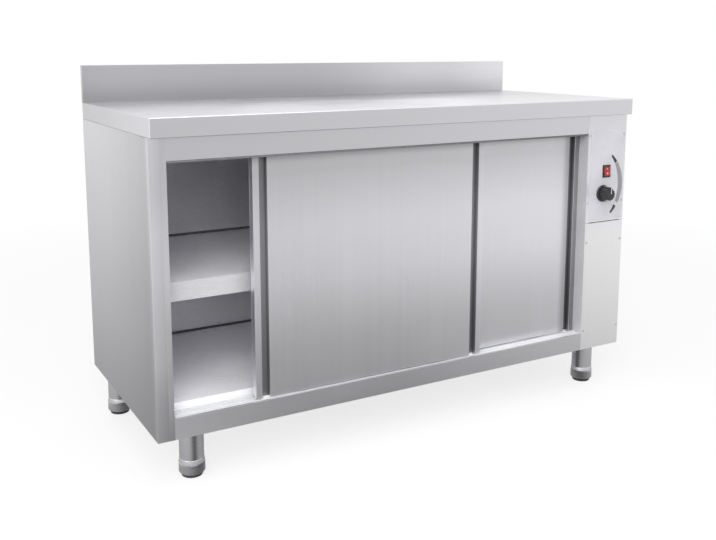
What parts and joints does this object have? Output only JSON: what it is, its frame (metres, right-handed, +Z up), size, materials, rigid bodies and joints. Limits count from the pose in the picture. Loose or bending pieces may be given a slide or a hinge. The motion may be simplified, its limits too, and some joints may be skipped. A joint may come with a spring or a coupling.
{
  "type": "plate warmer cabinet",
  "caption": "Heated stainless steel plate cupboard with sliding doors, a worktop with rear upstand, a control column and adjustable feet.",
  "frame": {"origin": "on the floor under the middle of the worktop", "axes": "+X to the right along the doors' travel, front faces -Y, +Z up"},
  "size_m": [1.4, 0.6155, 0.948],
  "materials": {
    "satin_steel": "satin",
    "inner_steel": "satin",
    "chipboard": "matte",
    "mineral_wool": "matte",
    "track_aluminium": "satin",
    "rubber": "matte",
    "printed_plate": "satin",
    "black_plastic": "satin",
    "red_plastic": "satin",
    "zinc_steel": "satin",
    "heater_steel": "satin",
    "terminal_plastic": "matte",
    "lead_sheath": "matte",
    "leg_steel": "satin",
    "foot_steel": "satin",
    "nylon": "matte"
  },
  "bodies": {
    "cabinet": {"worktop": "satin_steel", "worktop_board": "chipboard", "upstand": "satin_steel", "side_panel_left": "satin_steel", "side_panel_right": "satin_steel", "side_liner": "inner_steel", "partition_liner": "inner_steel", "partition_insulation": "mineral_wool", "back_panel": "satin_steel", "back_liner": "inner_steel", "ceiling_liner": "inner_steel", "deck": "inner_steel", "base_pan": "inner_steel", "insulation": "mineral_wool", "top_rail": "satin_steel", "bottom_rail": "satin_steel", "jamb_left": "satin_steel", "jamb_right": "satin_steel", "top_track": "track_aluminium", "bottom_track": "track_aluminium", "track_stops": "rubber", "mid_shelf": "inner_steel", "shelf_supports": "inner_steel", "column_cover": "satin_steel", "control_panel": "satin_steel", "scale_plate": "printed_plate", "thermostat": "black_plastic", "switch_bezel": "black_plastic", "fan_motor": "zinc_steel", "fan_shroud": "inner_steel", "heating_element": "heater_steel", "air_grille": "inner_steel", "terminal_block": "terminal_plastic", "cable_gland": "black_plastic", "wiring": "lead_sheath", "legs": "leg_steel", "fasteners": "zinc_steel"},
    "left_door": {"left_door_skin": "satin_steel", "left_door_core": "mineral_wool", "left_door_back": "inner_steel", "left_door_hangers": "zinc_steel", "left_door_guides": "nylon"},
    "left_roller_a": {"left_door_roller_a": "nylon"},
    "left_roller_b": {"left_door_roller_b": "nylon"},
    "right_door": {"right_door_skin": "satin_steel", "right_door_core": "mineral_wool", "right_door_back": "inner_steel", "right_door_hangers": "zinc_steel", "right_door_guides": "nylon"},
    "right_roller_a": {"right_door_roller_a": "nylon"},
    "right_roller_b": {"right_door_roller_b": "nylon"},
    "knob": {"knob": "black_plastic", "thermostat_shaft": "zinc_steel"},
    "rocker": {"switch_rocker": "red_plastic"},
    "fan": {"fan_impeller": "zinc_steel"},
    "foot_front_left": {"foot_front_left": "foot_steel"},
    "foot_front_right": {"foot_front_right": "foot_steel"},
    "foot_rear_left": {"foot_rear_left": "foot_steel"},
    "foot_rear_right": {"foot_rear_right": "foot_steel"}
  },
  "joints": [
    {"name": "left_door_slide", "type": "slide", "parent": "cabinet", "child": "left_door", "axis": [1, 0, 0], "range_m": [-0.2005, 0.3585]},
    {"name": "right_door_slide", "type": "slide", "parent": "cabinet", "child": "right_door", "axis": [1, 0, 0], "range_m": [-0.559, 0]},
    {"name": "left_roller_a_spin", "type": "hinge", "parent": "left_door", "child": "left_roller_a", "pos_m": [-0.399, -0.261, 0.78425], "axis": [0, 1, 0], "range_deg": [-959, 1713]},
    {"name": "left_roller_b_spin", "type": "hinge", "parent": "left_door", "child": "left_roller_b", "pos_m": [0.136, -0.261, 0.78425], "axis": [0, 1, 0], "range_deg": [-959, 1713]},
    {"name": "right_roller_a_spin", "type": "hinge", "parent": "right_door", "child": "right_roller_a", "pos_m": [-0.0405, -0.235, 0.78425], "axis": [0, 1, 0], "range_deg": [-2671, 1]},
    {"name": "right_roller_b_spin", "type": "hinge", "parent": "right_door", "child": "right_roller_b", "pos_m": [0.4945, -0.235, 0.78425], "axis": [0, 1, 0], "range_deg": [-2671, 1]},
    {"name": "knob_turn", "type": "hinge", "parent": "cabinet", "child": "knob", "pos_m": [0.6155, -0.2805, 0.582], "axis": [0, 1, 0], "range_deg": [0, 270]},
    {"name": "switch_rock", "type": "hinge", "parent": "cabinet", "child": "rocker", "pos_m": [0.6275, -0.2815, 0.645], "axis": [1, 0, 0], "range_deg": [0, 14]},
    {"name": "fan_spin", "type": "hinge", "parent": "cabinet", "child": "fan", "pos_m": [0.59, 0.0255, 0.301], "axis": [1, 0, 0], "continuous": true},
    {"name": "foot_front_left_screw", "type": "slide", "parent": "cabinet", "child": "foot_front_left", "axis": [0, 0, -1], "range_m": [0, 0.03]},
    {"name": "foot_front_right_screw", "type": "slide", "parent": "cabinet", "child": "foot_front_right", "axis": [0, 0, -1], "range_m": [0, 0.03]},
    {"name": "foot_rear_left_screw", "type": "slide", "parent": "cabinet", "child": "foot_rear_left", "axis": [0, 0, -1], "range_m": [0, 0.03]},
    {"name": "foot_rear_right_screw", "type": "slide", "parent": "cabinet", "child": "foot_rear_right", "axis": [0, 0, -1], "range_m": [0, 0.03]}
  ],
  "couplings": [
    {"joint": "left_roller_a_spin", "follows": "left_door_slide", "rad_per_m": 83.333},
    {"joint": "left_roller_b_spin", "follows": "left_door_slide", "rad_per_m": 83.333},
    {"joint": "right_roller_a_spin", "follows": "right_door_slide", "rad_per_m": 83.333},
    {"joint": "right_roller_b_spin", "follows": "right_door_slide", "rad_per_m": 83.333}
  ]
}
